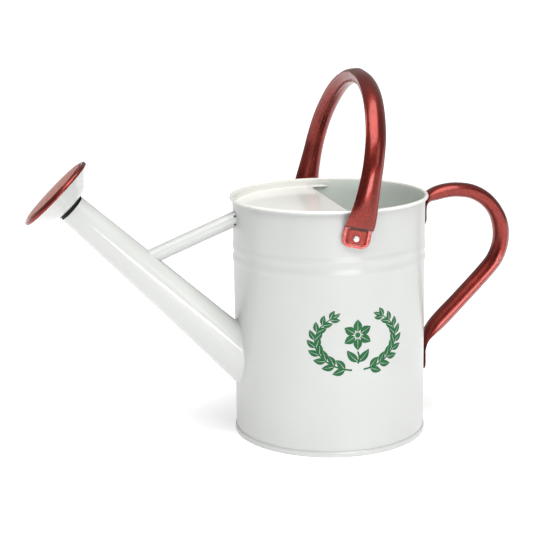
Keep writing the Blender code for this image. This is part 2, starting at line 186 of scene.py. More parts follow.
def arc(centre, radius, start, end, count):
    """Points (r, z) along an arc, its ends included."""
    step = (end - start) / (count - 1)
    angles = [start + step * i for i in range(count)]
    return [(centre[0] + radius * math.cos(a), centre[1] + radius * math.sin(a)) for a in angles]


def spline(knots, per_span):
    """Samples of a Catmull-Rom curve through the knots, which are tuples of any one length."""
    knots = [Vector(k) for k in knots]
    samples = []
    for i in range(len(knots) - 1):
        before = knots[max(i - 1, 0)]
        start, end = knots[i], knots[i + 1]
        after = knots[min(i + 2, len(knots) - 1)]
        for k in range(per_span):
            t = k / per_span
            samples.append(0.5 * (2 * start + (end - before) * t
                                  + (2 * before - 5 * start + 4 * end - after) * t * t
                                  + (3 * start - before - 3 * end + after) * t ** 3))
    samples.append(knots[-1])
    return samples


def from_axis(point):
    """A point's distance from its frame's Z axis, which is the tank's own in the world frame."""
    return math.hypot(point.x, point.y)


def smoothstep(low, high, value):
    t = min(max((value - low) / (high - low), 0.0), 1.0)
    return t * t * (3 - 2 * t)


def sheet_sides(line):
    """The two faces of the sheet that follows a line of (r, z) points: its left and its right."""
    points = [Vector(p) for p in line]
    left = []
    right = []
    for i, point in enumerate(points):
        ahead = points[min(i + 1, len(points) - 1)] - point
        behind = point - points[max(i - 1, 0)]
        ahead = ahead.normalized() if ahead.length else behind.normalized()
        behind = behind.normalized() if behind.length else ahead
        bisector = (ahead + behind).normalized()
        normal = Vector((-bisector.y, bisector.x))
        reach = SHEET / 2 / max(bisector.dot(ahead), 0.5)
        left.append(tuple(point + normal * reach))
        right.append(tuple(point - normal * reach))
    return left, right


def sheet_outline(line):
    left, right = sheet_sides(line)
    return right[::-1] + left


def disc_outline(line):
    """An outline round a sheet whose line starts on the axis."""
    top, underside = sheet_sides(line)
    top[0] = (0.0, top[0][1])
    underside[0] = (0.0, underside[0][1])
    return top + underside[::-1]


def turned(name, outline, *materials, matrix=HERE, steps=ROUND_STEPS, closed=True):
    """An outline of (r, z) points turned about the +Z of matrix."""
    shape = bmesh.new()
    verts = [shape.verts.new((r, 0.0, z)) for r, z in outline]
    ends = list(zip(verts, verts[1:]))
    if closed:
        ends.append((verts[-1], verts[0]))
    edges = [shape.edges.new(pair) for pair in ends]
    bmesh.ops.spin(shape, geom=verts + edges, axis=Z_AXIS, cent=(0.0, 0.0, 0.0),
                   angle=2 * math.pi, steps=steps)
    bmesh.ops.remove_doubles(shape, verts=shape.verts, dist=0.0000005)
    bmesh.ops.recalc_face_normals(shape, faces=shape.faces)
    obj = link(name, mesh_from(shape, name, matrix), *materials)
    smooth(obj.data)
    return obj


def rod(matrix, radius_start, radius_end, start, end, sides=SMALL_STEPS):
    """A rod or cone along the +Z of matrix, to cut or to join with."""
    shape = bmesh.new()
    shift = Matrix.Translation((0.0, 0.0, (start + end) / 2))
    bmesh.ops.create_cone(shape, cap_ends=True, segments=sides, radius1=radius_start,
                          radius2=radius_end, depth=end - start, matrix=shift)
    return link("tool", mesh_from(shape, "tool", matrix))


def block(low, high):
    """A box between two corners, to cut with."""
    shape = bmesh.new()
    centre = (Vector(low) + Vector(high)) / 2
    size = Vector(high) - Vector(low)
    bmesh.ops.create_cube(shape, size=1.0,
                          matrix=Matrix.Translation(centre) @ Matrix.Diagonal((*size, 1.0)))
    return link("tool", mesh_from(shape, "tool"))


def combine(obj, tools, operation="DIFFERENCE"):
    """Cuts the tools from obj, or joins them to it, and applies its other modifiers as well."""
    for tool in tools:
        boolean = obj.modifiers.new("Tool", "BOOLEAN")
        boolean.operation = operation
        boolean.solver = "EXACT"
        boolean.object = tool
    graph = bpy.context.evaluated_depsgraph_get()
    mesh = bpy.data.meshes.new_from_object(obj.evaluated_get(graph))
    obj.modifiers.clear()
    obj.data = mesh
    for tool in tools:
        bpy.data.objects.remove(tool)
    smooth(mesh)


def paint_faces(mesh, index, passes):
    """Gives the faces whose centre passes the test that one of the piece's materials."""
    for face in mesh.polygons:
        if passes(face.center):
            face.material_index = index


def place(obj, body, slot, *nodes):
    """Hangs a piece on the body that it rides on and hides the CAD nodes it stands for. Its finish,
    slot, is not used.
    """
    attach(obj, body)
    if nodes:
        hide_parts(*nodes)


# -------- materials

def new_material(name):
    """A material with nodes: (material, its node tree, its Principled shader, object coordinates)."""
    material = bpy.data.materials.new(name)
    material.use_nodes = True
    tree = material.node_tree
    shader = tree.nodes["Principled BSDF"]
    coordinates = tree.nodes.new("ShaderNodeTexCoord")
    return material, tree, shader, coordinates.outputs["Object"]


def noise(tree, vector, scale, detail=3.0, roughness=0.5, stretch=None):
    """A noise value: about scale waves in a metre, after stretch has scaled the three axes."""
    if stretch:
        mapping = tree.nodes.new("ShaderNodeMapping")
        mapping.inputs["Scale"].default_value = stretch
        tree.links.new(vector, mapping.inputs["Vector"])
        vector = mapping.outputs["Vector"]
    node = tree.nodes.new("ShaderNodeTexNoise")
    node.inputs["Scale"].default_value = scale
    node.inputs["Detail"].default_value = detail
    node.inputs["Roughness"].default_value = roughness
    tree.links.new(vector, node.inputs["Vector"])
    return node.outputs["Fac"]


def graded(tree, value, stops):
    """A colour ramp: stops are (position, colour)."""
    ramp = tree.nodes.new("ShaderNodeValToRGB")
    elements = ramp.color_ramp.elements
    for position, _ in stops[1:-1]:
        elements.new(position)
    for element, (position, colour) in zip(elements, stops):
        element.position = position
        element.color = (*colour, 1.0)
    tree.links.new(value, ramp.inputs["Fac"])
    return ramp.outputs["Color"]


def ranged(tree, value, low, high, from_low=0.3, from_high=0.7):
    """Maps from_low ... from_high to low ... high, with nothing beyond them."""
    node = tree.nodes.new("ShaderNodeMapRange")
    node.inputs["From Min"].default_value = from_low
    node.inputs["From Max"].default_value = from_high
    node.inputs["To Min"].default_value = low
    node.inputs["To Max"].default_value = high
    tree.links.new(value, node.inputs["Value"])
    return node.outputs["Result"]


def bumped(tree, shader, layers):
    """Chains bumps: layers are (height value, strength, distance in metres)."""
    normal = None
    for height, strength, distance in layers:
        bump = tree.nodes.new("ShaderNodeBump")
        bump.inputs["Strength"].default_value = strength
        bump.inputs["Distance"].default_value = distance
        tree.links.new(height, bump.inputs["Height"])
        if normal:
            tree.links.new(normal, bump.inputs["Normal"])
        normal = bump.outputs["Normal"]
    tree.links.new(normal, shader.inputs["Normal"])


def powder_coat(name, light, shade, coat, tone_scale=22.0, specular=0.5):
    """Sprayed powder coat: slightly uneven in tone, with a fine orange-peel surface."""
    material, tree, shader, coordinates = new_material(name)
    tone = noise(tree, coordinates, tone_scale, detail=4.0)
    tree.links.new(graded(tree, tone, [(0.32, shade), (0.68, light)]), shader.inputs["Base Color"])
    grain = noise(tree, coordinates, 420.0)
    tree.links.new(ranged(tree, grain, 0.30, 0.36), shader.inputs["Roughness"])
    bumped(tree, shader, [(noise(tree, coordinates, 35.0, detail=2.0), 0.20, 0.00004),
                          (noise(tree, coordinates, 700.0, detail=1.0), 0.25, 0.000003)])
    shader.inputs["Specular IOR Level"].default_value = specular
    shader.inputs["Coat Weight"].default_value = coat
    shader.inputs["Coat Roughness"].default_value = 0.06
    return material


def lacquered_metal(name, deep, mid, bright, metallic):
    """Transparent lacquer over bright metal: fine grain, darker where the lacquer is thicker."""
    material, tree, shader, coordinates = new_material(name)
    shader.inputs["Metallic"].default_value = metallic
    patches = noise(tree, coordinates, 45.0, detail=4.0, roughness=0.6)
    fleck = noise(tree, coordinates, 1500.0, detail=2.0, roughness=0.6, stretch=(1.0, 1.0, 0.35))
    mixed = tree.nodes.new("ShaderNodeMath")
    mixed.operation = "MULTIPLY_ADD"
    mixed.inputs[1].default_value = 0.6
    tree.links.new(patches, mixed.inputs[0])
    tree.links.new(ranged(tree, fleck, 0.0, 0.4), mixed.inputs[2])
    stops = [(0.25, deep), (0.52, mid), (0.80, bright)]
    tree.links.new(graded(tree, mixed.outputs[0], stops), shader.inputs["Base Color"])
    tree.links.new(ranged(tree, patches, 0.26, 0.36), shader.inputs["Roughness"])
    bumped(tree, shader, [(noise(tree, coordinates, 90.0, detail=2.0), 0.20, 0.00005),
                          (fleck, 0.22, 0.000008)])
    shader.inputs["Coat Weight"].default_value = 0.4
    shader.inputs["Coat Roughness"].default_value = 0.10
    return material


def bright_metal(name, colour, roughness, metallic=0.95):
    """Bare or plated metal with fine scratches, a little darker in them."""
    material, tree, shader, coordinates = new_material(name)
    shader.inputs["Metallic"].default_value = metallic
    scratch = noise(tree, coordinates, 700.0, detail=4.0, roughness=0.7, stretch=(1.0, 1.0, 6.0))
    dark = tuple(c * 0.86 for c in colour)
    tree.links.new(graded(tree, scratch, [(0.3, dark), (0.7, colour)]), shader.inputs["Base Color"])
    tree.links.new(ranged(tree, scratch, roughness - 0.06, roughness + 0.10),
                   shader.inputs["Roughness"])
    bumped(tree, shader, [(scratch, 0.20, 0.00001)])
    return material


def rubber(name):
    """Dusty black rubber."""
    material, tree, shader, coordinates = new_material(name)
    dust = noise(tree, coordinates, 160.0, detail=5.0, roughness=0.65)
    stops = [(0.35, (0.003, 0.003, 0.004)), (0.75, (0.009, 0.009, 0.010))]
    tree.links.new(graded(tree, dust, stops), shader.inputs["Base Color"])
    shader.inputs["Specular IOR Level"].default_value = 0.25
    tree.links.new(ranged(tree, dust, 0.50, 0.72), shader.inputs["Roughness"])
    bumped(tree, shader, [(noise(tree, coordinates, 1800.0, detail=2.0), 0.4, 0.00002)])
    return material


def print_ink(name):
    """Green screen-print ink, a little uneven in cover."""
    material, tree, shader, coordinates = new_material(name)
    cover = noise(tree, coordinates, 380.0, detail=4.0, roughness=0.6)
    stops = [(0.30, (0.013, 0.095, 0.034)), (0.55, (0.018, 0.128, 0.042)),
             (0.80, (0.026, 0.155, 0.052))]
    tree.links.new(graded(tree, cover, stops), shader.inputs["Base Color"])
    tree.links.new(ranged(tree, cover, 0.34, 0.46), shader.inputs["Roughness"])
    bumped(tree, shader, [(cover, 0.3, 0.00001)])
    shader.inputs["Specular IOR Level"].default_value = 0.2
    return material


WHITE = powder_coat("white_powder_coat", light=(0.565, 0.575, 0.562),
                    shade=(0.545, 0.555, 0.542), coat=0.2)
GLOSSY_WHITE = powder_coat("glossy_white_coat", light=(0.58, 0.59, 0.57),
                           shade=(0.56, 0.57, 0.55), coat=0.9)
# The white, painted lighter for the cover and the rim's top: painted light from above.
WHITE_PAINTED_TOP_LIGHT = powder_coat("white_coat_painted_top_light", light=(0.88, 0.88, 0.83),
                    shade=(0.855, 0.855, 0.805), coat=0.5)
# Grey-green lining, made lighter than the outer white: painted light inside the can.
LINING_PAINTED_LIGHT = powder_coat("grey_green_lining_painted_light", light=(0.88, 0.94, 0.88),
                     shade=(0.86, 0.92, 0.86), coat=0.15)
RED = lacquered_metal("red_lacquer", deep=(0.13, 0.013, 0.009), mid=(0.23, 0.025, 0.018),
                      bright=(0.34, 0.044, 0.031), metallic=0.85)
# A lighter, pinker copy of the red lacquer for the ears' raised borders: painted highlight.
RED_PAINTED_HIGHLIGHT = lacquered_metal("red_lacquer_painted_highlight", deep=(0.30, 0.038, 0.030), mid=(0.54, 0.085, 0.070),
                           bright=(0.90, 0.34, 0.30), metallic=0.45)
# A near-black copy of the red lacquer for the band under the fold above each bail ear: painted shade.
RED_PAINTED_FOLD_SHADE = lacquered_metal("red_painted_fold_shade", deep=(0.04, 0.005, 0.004),
                           mid=(0.07, 0.008, 0.006), bright=(0.11, 0.014, 0.011), metallic=0.60)
# The rose's red face, painted lighter and pinker as a painted sheen, with little shine of its own.
RED_PLATE_PAINTED_SHEEN = powder_coat("red_plate_face_painted_sheen", light=(0.56, 0.25, 0.21), shade=(0.38, 0.13, 0.10),
                        coat=0.0, tone_scale=480.0, specular=0.08)
# Dark steel for the inside of the brace's tube: painted shade.
DARK_STEEL_PAINTED_SHADE = bright_metal("dark_steel_painted_shade", (0.16, 0.16, 0.155), roughness=0.5)
PLATED = bright_metal("plated_steel_finish", (0.62, 0.62, 0.60), roughness=0.34)
RIVET = bright_metal("rivet_finish", (0.95, 0.95, 0.94), roughness=0.26, metallic=0.55)
RUBBER = rubber("rubber_finish")
INK = print_ink("green_print_ink")


# -------- tank

RIB_POINTS = 17
RIB_FULLNESS = 0.8
CURL_POINTS = 22
LINING_TOP_Z = RIM_Z - 0.0010
SHOULDER_END = 0.35
SEAM_TOP = ((0.0807, 0.0026), (0.0805, 0.0036), (0.08025, 0.0044))
COVER_STEPS = 10
COVER_CUT_X = 0.0300
COVER_UNDERSIDE_Z = COVER_Z - 0.0001


def tank_line():
    """The tank wall's centre-line: up past two swaged rings and round the rim's curl."""
    line = [(WALL_R, WALL_FOOT_Z)]
    for z in RIB_ZS:
        for i in range(RIB_POINTS):
            t = -1 + 2 * i / (RIB_POINTS - 1)
            swell = RIB_HEIGHT * (0.5 + 0.5 * math.cos(math.pi * t)) ** RIB_FULLNESS
            line.append((WALL_R + swell, z + RIB_HALF * t))
    line.append((WALL_R, COVER_Z))
    line += arc((WALL_R + CURL_R, RIM_Z), CURL_R, math.pi, CURL_END, CURL_POINTS)
    return line


def spout_frame():
    """Origin at the spout's mouth, +Z back down the spout."""
    return along(SPOUT_MOUTH, Vector((math.cos(SPOUT_RISE), 0.0, -math.sin(SPOUT_RISE))))


def spout_radius(distance):
    """The spout's outer radius at that distance from its mouth."""
    return SPOUT_MOUTH_R + SPOUT_TAPER * distance


def rivet_frames():
    """Every rivet's name and its frame: origin on the tank's axis, +Z out through the rivet."""
    level = Vector((0.0, 0.0, BAIL_PIVOT.z))
    frames = [("bail_front", along(level, -Y_AXIS)), ("bail_back", along(level, Y_AXIS))]
    for name, z in zip(("handle_upper", "handle_lower"), HANDLE_RIVET_ZS):
        frames.append((name, along(Vector((0.0, 0.0, z)), X_AXIS)))
    return frames


def make_tank():
    """The wall, with a port for the spout and rivet holes, lined inside, and lighter above the cover
    and on the rim's top as painted light.
    """
    tank = turned("body_shell_fine", sheet_outline(tank_line()), WHITE, LINING_PAINTED_LIGHT, WHITE_PAINTED_TOP_LIGHT)
    port = rod(spout_frame(), spout_radius(PORT_START) - PORT_MARGIN,
               spout_radius(SPOUT_LENGTH) - PORT_MARGIN, PORT_START, SPOUT_LENGTH)
    holes = [rod(matrix, RIVET_HOLE_R, RIVET_HOLE_R, *THROUGH_WALL, HOLE_STEPS)
             for _, matrix in rivet_frames()]
    combine(tank, [port] + holes)

    def lined(centre):
        inside = from_axis(centre) < WALL_R and centre.z < LINING_TOP_Z
        return inside and (centre.z < COVER_Z or centre.x > COVER_EAR_X)

    def above_cover(centre):
        inside = from_axis(centre) < WALL_R and centre.z > COVER_Z
        return centre.z > RIM_Z or (inside and centre.x <= COVER_EAR_X)

    # The inside gets the grey-green lining, painted lighter as painted light.
    paint_faces(tank.data, 1, lined)
    # The rim's top and the inside above the cover get the lighter white: painted light from above.
    paint_faces(tank.data, 2, above_cover)
    place(tank, "can", "white_enamel", "body_shell")


def make_base():
    """A recessed panel, bent down to the foot and up again as a seam round the wall."""
    line = [(0.0, PANEL_Z), (PANEL_FLAT_R, PANEL_Z)]
    line += arc((SHOULDER_R, PANEL_Z - SHOULDER_BEND), SHOULDER_BEND, math.pi / 2, SHOULDER_END, 6)
    line += arc((FOOT_R, SHEET / 2 + FOOT_BEND), FOOT_BEND, math.pi, 1.5 * math.pi, 5)
    line += arc((SEAM_R, SHEET / 2 + SEAM_BEND), SEAM_BEND, -math.pi / 2, 0.0, 6)
    line += SEAM_TOP
    base = turned("base_plate_fine", disc_outline(line), WHITE, LINING_PAINTED_LIGHT, closed=False)
    # The panel's inside gets the lining, painted lighter as painted light.
    paint_faces(base.data, 1, lambda c: c.z > PANEL_Z and from_axis(c) < FOOT_R)
    place(base, "can", "white_enamel", "base_plate")


def make_cover():
    """Domed disc, cut along a straight edge that is hemmed, with an ear left at each end."""
    line = []
    for i in range(COVER_STEPS + 1):
        share = i / COVER_STEPS
        rise = COVER_RISE * (0.5 + 0.5 * math.cos(math.pi * share))
        line.append((COVER_DOME_R * share, COVER_Z + rise))
    line += arc((COVER_LIP_R - COVER_BEND, COVER_Z + COVER_BEND), COVER_BEND, -math.pi / 3, 0.0, 5)
    line += [(COVER_LIP_R, z) for z in COVER_LIP_ZS]
    # The cover's top is in the lighter white, painted light from above.
    cover = turned("top_cover_fine", disc_outline(line), WHITE_PAINTED_TOP_LIGHT, LINING_PAINTED_LIGHT, closed=False)
    between_ears = block((COVER_EDGE_X, -COVER_EAR_Y, BELOW_COVER_Z),
                         (COVER_CUT_X, COVER_EAR_Y, ABOVE_RIM_Z))
    open_side = block((COVER_EAR_X, -OUTSIDE, BELOW_COVER_Z), (OUTSIDE, OUTSIDE, ABOVE_RIM_Z))
    combine(cover, [between_ears, open_side])
    hem = rod(along(Vector((COVER_EDGE_X, 0.0, HEM_Z)), Y_AXIS), HEM_R, HEM_R,
              -HEM_HALF, HEM_HALF, HOLE_STEPS)
    combine(cover, [hem], "UNION")
    # The underside gets the lining, painted lighter as painted light.
    paint_faces(cover.data, 1, lambda c: c.z < COVER_UNDERSIDE_Z)
    place(cover, "can", "white_enamel", "top_cover")


# -------- spout and brace

WELD_POINTS = 120
WELD_R = 0.0007
HALVINGS = 40
NOTCH_X = -TANK_R + 0.0002
NOTCH_SPAN = (-0.0019, 0.0020)


def make_spout():
    """A tapered tube with a rounded lip, cut to the tank's wall and lined inside."""
    start = SPOUT_END + SHEET / 2
    line = [(spout_radius(start) - SHEET / 2, start),
            (spout_radius(SPOUT_LENGTH) - SHEET / 2, SPOUT_LENGTH)]
    inner, outer = sheet_sides(line)
    lip = arc((spout_radius(start) - SHEET / 2, start), SHEET / 2, 0.0, -math.pi, 7)
    outline = [outer[1]] + lip + [inner[1]]
    spout = turned("spout_tube_fine", outline, GLOSSY_WHITE, LINING_PAINTED_LIGHT, matrix=spout_frame(),
                   steps=TUBE_STEPS)
    combine(spout, [rod(HERE, TANK_R, TANK_R, 0.0, ABOVE_RIM_Z, ROUND_STEPS)])
    axis = spout_frame().inverted()

    def inside(centre):
        local = axis @ centre
        return from_axis(local) < spout_radius(local.z) - SHEET * 0.6

    # The spout's inside gets the lining, painted lighter as painted light.
    paint_faces(spout.data, 1, inside)
    place(spout, "can", "white_enamel", "spout_tube")


def wall_crossing(angle):
    """Where the line down the spout's surface at that angle meets the tank, by halving."""
    matrix = spout_frame()
    near = 0.0
    far = SPOUT_LENGTH
    for _ in range(HALVINGS):
        middle = (near + far) / 2
        radius = spout_radius(middle)
        point = matrix @ Vector((radius * math.cos(angle), radius * math.sin(angle), middle))
        if from_axis(point) > TANK_R:
            near = middle
        else:
            far = middle
    return point


def make_weld():
    """The thin bead where the spout meets the tank: a closed loop on both surfaces."""
    curve = bpy.data.curves.new("spout_weld", "CURVE")
    curve.dimensions = "3D"
    curve.bevel_depth = WELD_R
    curve.bevel_resolution = 3
    path = curve.splines.new("POLY")
    path.points.add(WELD_POINTS - 1)
    path.use_cyclic_u = True
    for i, target in enumerate(path.points):
        target.co = (*wall_crossing(2 * math.pi * i / WELD_POINTS), 1.0)
    source = link("tool", curve)
    graph = bpy.context.evaluated_depsgraph_get()
    mesh = bpy.data.meshes.new_from_object(source.evaluated_get(graph))
    bpy.data.objects.remove(source)
    weld = link("spout_weld", mesh, WHITE)
    smooth(mesh)
    place(weld, "can", "white_enamel")


def make_brace():
    """A thin tube, cut to the spout and the tank, with relief notches between its weld tabs."""
    matrix = along(BRACE_HEAD, BRACE_FOOT - BRACE_HEAD)
    length = (BRACE_FOOT - BRACE_HEAD).length
    inner = BRACE_R - BRACE_WALL
    outline = [(BRACE_R, length), (BRACE_R, 0.0), (inner, 0.0), (inner, length)]
    brace = turned("brace_tube_fine", outline, WHITE, DARK_STEEL_PAINTED_SHADE, matrix=matrix, steps=64)
    tools = [rod(HERE, TANK_R, TANK_R, 0.0, ABOVE_RIM_Z, ROUND_STEPS),
             rod(spout_frame(), spout_radius(0.0), spout_radius(SPOUT_LENGTH), 0.0, SPOUT_LENGTH)]
    for side in (-NOTCH_SIDE, NOTCH_SIDE):
        for height in (NOTCH_Z + NOTCH_RISE, NOTCH_Z - NOTCH_RISE):
            notch = along(Vector((NOTCH_X, side, height)), X_AXIS)
            tools.append(rod(notch, NOTCH_R, NOTCH_R, *NOTCH_SPAN, 16))
    combine(brace, tools)
    axis = matrix.inverted()
    # The tube's inside gets the dark steel: painted shade.
    paint_faces(brace.data, 1, lambda c: from_axis(axis @ c) < BRACE_R - BRACE_WALL / 2)
    place(brace, "can", "white_enamel", "brace_tube")


# -------- rose

# Heights along the rose's axis from the spout's mouth, and (radius, height) points.
CUP_Z = SEAL_TOP + SHEET
COLLAR_Z = CUP_Z + SHEET
NECK_BEVEL = (0.0002, 0.0004)
CUP_RISES = ((0.0125, 0.0), (0.0153, 0.0005), (0.0185, 0.0020), (0.0218, 0.0046),
             (0.0256, 0.0082), (0.0296, 0.0117), (0.0326, 0.0144))
PLATE_FACE = ((0.0, 0.0196), (0.0048, 0.01958), (0.0096, 0.0195), (0.0144, 0.01938),
              (0.0192, 0.01922), (0.0240, 0.0190), (0.0290, 0.0187))
PLATE_EDGE = ((0.0300, 0.01850), (0.0305, 0.0180), (0.0311, 0.01762), (0.0320, 0.01772),
              (0.0329, 0.01762), (0.03355, 0.0170), (0.0338, 0.0161), (0.0336, 0.0151))
SPRAY_DEPTH = 0.0060
ROSE_SPAN_STEPS = 5


def rose_frame():
    """Origin at the spout's mouth, +Z out of it along the rose's own axis."""
    level = math.cos(ROSE_LEAN)
    return along(SPOUT_MOUTH, Vector((-math.cos(ROSE_RISE) * level, math.sin(ROSE_LEAN),
                                      math.sin(ROSE_RISE) * level)))


def make_seal(matrix):
    """Rubber sleeve in the spout with a flange that shows as a dark ring."""
    outline = arc((SEAL_FLANGE_R, SEAL_MIDDLE), SEAL_BEAD, math.pi / 2, -math.pi / 2, 9)
    outline += [(SEAL_R, SEAL_MIDDLE - SEAL_BEAD), (SEAL_R, SEAL_END), (ROSE_HOLE_R, SEAL_END),
                (ROSE_HOLE_R, SEAL_MIDDLE + SEAL_BEAD)]
    seal = turned("rose_seal_fine", outline, RUBBER, matrix=matrix, steps=TUBE_STEPS)
    place(seal, "seal", "black_rubber", "rose_seal")


def make_neck(matrix):
    """The plug that goes into the spout, bevelled at its end, with a collar inside the cup."""
    outline = [(COLLAR_R, COLLAR_Z + SHEET), (COLLAR_R, COLLAR_Z), (NECK_R, COLLAR_Z),
               (NECK_R, NECK_END + NECK_BEVEL[1]), (NECK_R - NECK_BEVEL[0], NECK_END),
               (NECK_BORE_R, NECK_END), (NECK_BORE_R, COLLAR_Z + SHEET)]
    neck = turned("rose_neck_fine", outline, PLATED, matrix=matrix, steps=TUBE_STEPS)
    place(neck, "rose", "plated_steel", "rose_neck")


def make_cup(matrix):
    knots = [(ROSE_HOLE_R, CUP_Z)] + [(r, CUP_Z + rise) for r, rise in CUP_RISES]
    line = spline(knots, ROSE_SPAN_STEPS)
    cup = turned("rose_cup_fine", sheet_outline(line), GLOSSY_WHITE, matrix=matrix)
    place(cup, "rose", "white_enamel", "rose_cup")


def spray_pins(matrix):
    """One tool with a pin for every spray hole: a middle one and rings round it."""
    pins = bmesh.new()
    for ring in range(SPRAY_RINGS + 1):
        count = max(1, 6 * ring)
        radius = ring * SPRAY_PITCH
        for i in range(count):
            angle = 2 * math.pi * (i + 0.5 * (ring % 2)) / count
            spot = Vector((radius * math.cos(angle), radius * math.sin(angle), PLATE_FACE_Z))
            bmesh.ops.create_cone(pins, cap_ends=True, segments=14, radius1=SPRAY_HOLE_R,
                                  radius2=SPRAY_HOLE_R, depth=SPRAY_DEPTH,
                                  matrix=Matrix.Translation(spot))
    return link("tool", mesh_from(pins, "tool", matrix))


def make_plate(matrix):
    """Raised face inside a rolled edge, with rings of spray holes."""
    line = spline(PLATE_FACE + PLATE_EDGE, ROSE_SPAN_STEPS)
    # The face is in the pink coat with its painted sheen, and the rolled edge is in the red lacquer.
    plate = turned("rose_plate_fine", disc_outline(line), RED_PLATE_PAINTED_SHEEN, RED, matrix=matrix,
                   closed=False)
    combine(plate, [spray_pins(matrix)])
    axis = matrix.inverted()
    paint_faces(plate.data, 1, lambda c: from_axis(axis @ c) > PLATE_FACE_R)
    place(plate, "rose", "red_plate", "rose_plate")


def make_rose():
    matrix = rose_frame()
    make_seal(matrix)
    make_neck(matrix)
    make_cup(matrix)
    make_plate(matrix)


# -------- rolled handles

# The strip's section in half widths and half depths, its crown outwards at +1.
CREASE = 0.27
CREASE_ANGLE = math.radians(62)
SEAM_HALF = 0.09
CROWN_SHARES = (0.0, 0.14, 0.28, 0.42, 0.56, 0.70, 0.82, 0.91)
CREASE_BEAD = ((1.005, CREASE + 0.075), (1.035, CREASE + 0.04), (1.04, CREASE),
               (1.02, CREASE - 0.045))
BACK_SHARES = (0.10, 0.17, 0.30, 0.45, 0.60, 0.75, 0.88, 1.0)
SEAM = ((0.03, -0.994), (0.0, -0.980))
STRIP_SHARP_DEGREES = 50

# The ear's pressed plate, and how far from its edges its raised border gets a painted highlight.
DISH_DEPTH = 0.95
BORDER_FROM = 0.62
BORDER_TO = 0.84
TIP_BORDER = (0.0014, 0.0040)
EDGE_ROUND = 0.10
DIMPLE_RS = (0.0031, 0.0036)
RIVET_PATH = (0.0790, 0.0880)
BRIGHT_SIDE = 0.72
BRIGHT_TIP = 0.0034
BRIGHT_RISE = 0.35

# The bail in its pivot's frame. Ear: (height, half width). Leg: (y, height, half width, half
# depth, lift of its outside). Arch: (y, height).
BAIL_TIP = -0.0074
BAIL_EAR = ((BAIL_TIP, 0.0062), (-0.0050, 0.0098), (-0.0012, EAR_HALF_WIDTH),
            (0.0050, EAR_HALF_WIDTH), (0.0084, EAR_HALF_WIDTH))
BAIL_LEG = ((0.0826, 0.0094, 0.0113, 0.0011, 0.0022), (0.0856, 0.0125, 0.0113, 0.0023, 0.0010),
            (0.0880, 0.0200, 0.0104, 0.0047, 0.0), (0.0886, 0.0300, 0.0093, 0.0056, 0.0),
            (0.0878, 0.0450, 0.0083, 0.0059, 0.0))
BAIL_ARCH = ((0.0856, 0.0600), (0.0786, 0.0780), (0.0650, 0.0948), (0.0470, 0.1087),
             (0.0245, 0.1180), (0.0, 0.1213))
BAIL_SPAN_STEPS = 9
BAIL_PRESSED_TO = 0.0082
# Heights of the band under the fold that gets painted shade, and where it starts at the ear's sides.
BAIL_FOLD = (0.0058, 0.0095)
BAIL_FOLD_SIDES = 0.0080

# The rear handle in the XZ plane. Ears: heights. Necks: (x, z, half width, half depth).
HANDLE_TIPS = (0.1730, 0.0460)
HANDLE_TIP_HALF = 0.0080
HANDLE_UPPER_EAR = (0.1770, 0.1860)
HANDLE_LOWER_EAR = (0.0590, 0.0500)
HANDLE_UPPER_NECK = ((0.0834, 0.1908, 0.0106, 0.0022), (0.0870, 0.1946, 0.0094, 0.0044),
                     (0.0935, 0.1972, 0.0085, 0.0058), (0.1020, 0.1991, *ROLL))
HANDLE_BEND_CENTRE = (0.1122, 0.1584)
HANDLE_BEND_R = 0.0412
HANDLE_BEND_END = math.radians(45.8) - math.pi / 2
HANDLE_BEND_POINTS = 8
HANDLE_ROLL_POINTS = 4
HANDLE_LOWER_NECK = ((0.1180, 0.1052, *RUN), (0.0985, 0.0860, 0.0085, 0.0069),
                     (0.0900, 0.0772, 0.0090, 0.0052), (0.0848, 0.0706, 0.0098, 0.0028),
                     (0.0826, 0.0640, 0.0108, 0.0013))
HANDLE_SPAN_STEPS = 8
HANDLE_PRESSED_TO = 0.0130
HANDLE_PRESSED_X = EAR_OFFSET + 1.2 * EAR_HALF_DEPTH


def half_roll():
    """Half of the rolled strip's outline in half widths and depths, from crown to seam."""
    points = []
    for share in CROWN_SHARES:
        angle = CREASE_ANGLE * share
        drop = (math.cos(angle) - math.cos(CREASE_ANGLE)) / (1 - math.cos(CREASE_ANGLE))
        points.append((math.sin(angle) / math.sin(CREASE_ANGLE), CREASE + (1 - CREASE) * drop))
    points += CREASE_BEAD
    for share in BACK_SHARES:
        angle = math.pi / 2 * share
        points.append((SEAM_HALF + (1 - SEAM_HALF) * math.cos(angle),
                       CREASE - (1 + CREASE) * math.sin(angle)))
    points += SEAM
    return points


def roll_outline():
    """The whole outline, once round the strip from beside its seam."""
    half = half_roll()
    return [(-u, v) for u, v in half[-2:0:-1]] + half


def pressed(u, v, tip_distance):
    """Outline of the ear's pressed plate: flat, with a raised border round a shallow dish."""
    side_border = smoothstep(BORDER_FROM, BORDER_TO, abs(u))
    border = max(side_border, 1 - smoothstep(*TIP_BORDER, tip_distance))
    top = 1 - DISH_DEPTH * (1 - border)
    edge = min(max((abs(u) - 1 + EDGE_ROUND) / EDGE_ROUND, 0.0), 1.0)
    return CREASE + (top - CREASE) * (1 - edge * edge) if v >= CREASE else v


def ring_points(sample, tip_distance):
    """One cross-section in metres: (across, outwards) points round the strip."""
    half_width, half_depth, press, lift = sample[2:6]
    press = min(max(press, 0.0), 1.0)
    points = []
    for u, v in roll_outline():
        shaped = v + (pressed(u, v, tip_distance) - v) * press
        raised = max(lift, 0.0) * smoothstep(CREASE - 0.5, CREASE, v)
        points.append((half_width * u, half_depth * shaped + raised))
    return points


